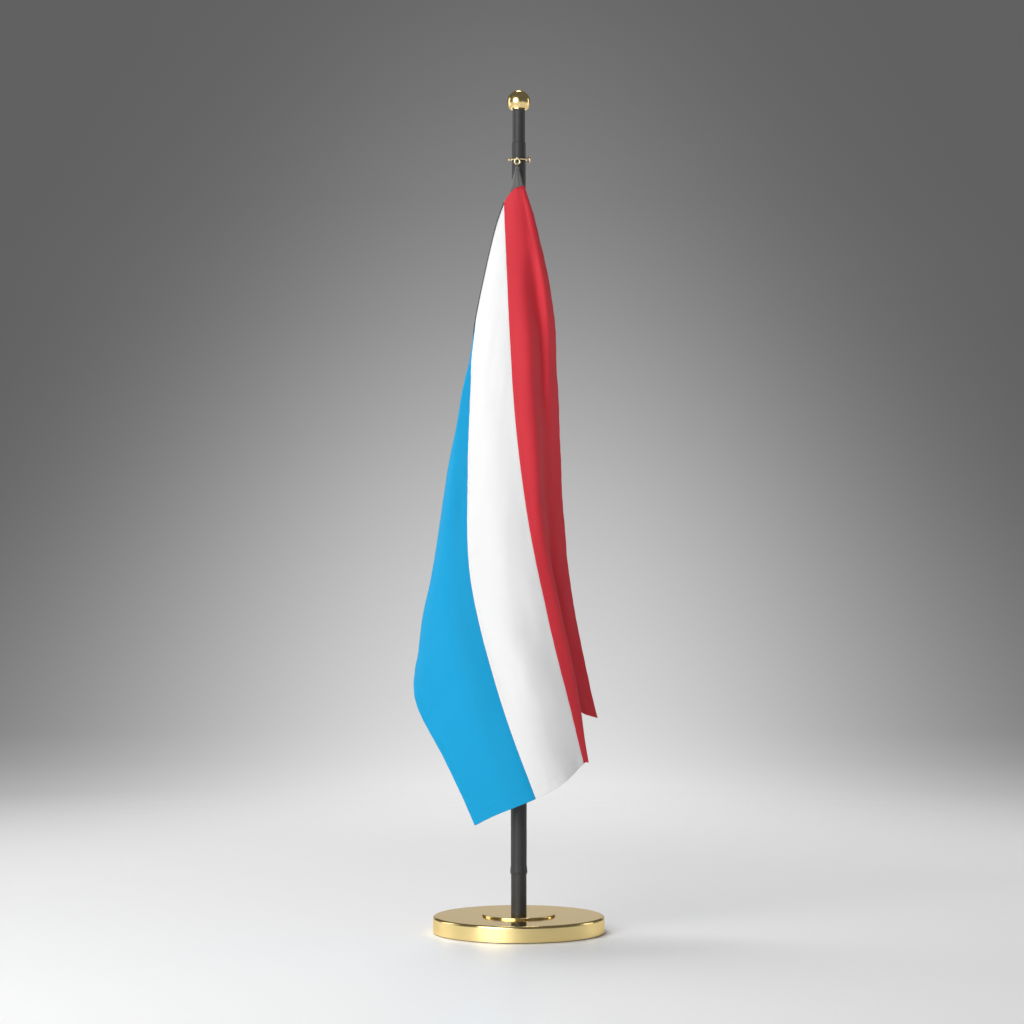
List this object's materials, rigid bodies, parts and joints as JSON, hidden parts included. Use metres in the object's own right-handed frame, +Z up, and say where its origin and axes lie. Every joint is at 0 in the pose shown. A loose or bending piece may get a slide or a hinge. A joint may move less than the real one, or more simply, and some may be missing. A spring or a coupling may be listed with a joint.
{
  "type": "desk flag stand",
  "caption": "Telescopic desk flag stand with a weighted round base, a ball finial and a three-striped flag draped from a ring clip.",
  "frame": {"origin": "middle of the underside of the base, on the pole's axis", "axes": "+Z up along the pole, -Y to the front, the side on which the flag hangs, +X to the right of a viewer in front"},
  "size_m": [0.0965, 0.086, 0.4222],
  "materials": {
    "brass_polished": "polished and lacquered",
    "brass_turned": "turned",
    "brass_wire": "bright drawn wire",
    "ballast_iron": "as cast",
    "screw_steel": "zinc plated",
    "black_satin": "satin black",
    "friction_rubber": "matte",
    "felt": "felt",
    "heading_cloth": "plain weave",
    "red_satin": "satin weave",
    "white_satin": "satin weave",
    "blue_satin": "satin weave"
  },
  "bodies": {
    "base": {"base_cover": "brass_polished", "ballast_disc": "ballast_iron", "base_pad": "felt", "socket_screw": "screw_steel", "socket_washer": "screw_steel", "pole_socket": "black_satin"},
    "lower_pole": {"lower_tube": "black_satin", "lower_ferrule": "black_satin"},
    "middle_pole": {"middle_tube": "black_satin", "middle_tail_bush": "brass_turned", "middle_friction_ring": "friction_rubber"},
    "top_pole": {"top_tube": "black_satin", "top_tail_bush": "brass_turned", "top_friction_ring": "friction_rubber", "finial_insert": "brass_turned"},
    "finial_seat": {"finial_collar": "brass_polished"},
    "finial": {"finial_ball": "brass_polished", "finial_stud": "screw_steel"},
    "flag": {"ring_clip": "brass_wire", "clip_ball": "brass_wire", "clip_loop": "brass_wire", "clip_bead": "brass_wire", "hanging_eye": "brass_wire", "tie_loop": "heading_cloth", "corner_tab": "heading_cloth", "heading_tape": "heading_cloth", "red_panel": "red_satin", "white_panel": "white_satin", "blue_panel": "blue_satin"}
  },
  "joints": [
    {"name": "pole_lift", "type": "slide", "parent": "base", "child": "lower_pole", "axis": [0, 0, 1], "range_m": [0, 0.018]},
    {"name": "middle_slide", "type": "slide", "parent": "lower_pole", "child": "middle_pole", "axis": [0, 0, 1], "range_m": [-0.038, 0.074]},
    {"name": "top_slide", "type": "slide", "parent": "middle_pole", "child": "top_pole", "axis": [0, 0, 1], "range_m": [-0.015, 0.058]},
    {"name": "flag_swivel", "type": "hinge", "parent": "middle_pole", "child": "flag", "pos_m": [0, 0, 0.3875], "axis": [0, 0, 1], "continuous": true},
    {"name": "finial_lift", "type": "slide", "parent": "top_pole", "child": "finial_seat", "axis": [0, 0, 1], "range_m": [0, 0.007]},
    {"name": "finial_turn", "type": "hinge", "parent": "finial_seat", "child": "finial", "pos_m": [0, 0, 0.4164], "axis": [0, 0, 1], "range_deg": [0, 3600]}
  ],
  "couplings": [
    {"joint": "finial_lift", "follows": "finial_turn", "m_per_rad": 0.0001114}
  ]
}
